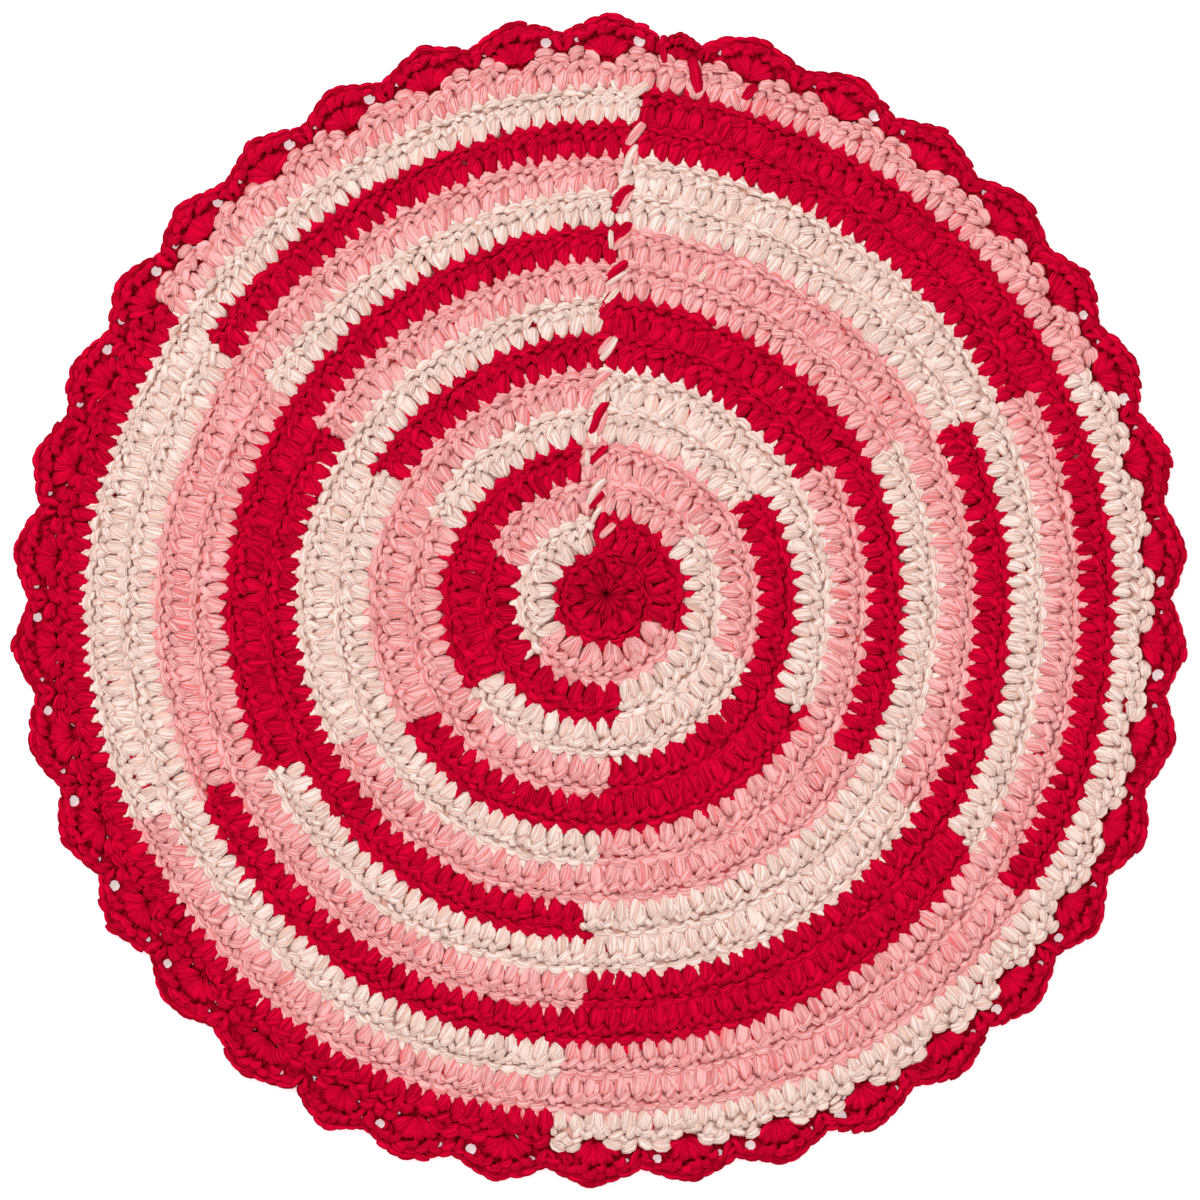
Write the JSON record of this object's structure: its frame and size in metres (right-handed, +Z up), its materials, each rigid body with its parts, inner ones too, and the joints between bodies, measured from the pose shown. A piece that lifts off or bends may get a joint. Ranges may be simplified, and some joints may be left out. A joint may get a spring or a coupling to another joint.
{
  "type": "crochet placemat",
  "caption": "Round flat crocheted cotton placemat worked in concentric rounds, with a pointed scalloped edging round its rim.",
  "frame": {"origin": "under the middle of the whole outline, on the surface that the mat lies on", "axes": "+Z up out of the worked side, +X to the right and +Y to the top of the mat as seen from above"},
  "size_m": [0.3794, 0.3794, 0.0061],
  "materials": {
    "mat_cotton": "matte crocheted cotton yarn in bands of red, pink and cream",
    "edging_cotton": "matte crocheted cotton yarn in deep red"
  },
  "bodies": {
    "root": {"mat_body": "mat_cotton", "scallop_edging": "edging_cotton"}
  },
  "joints": []
}
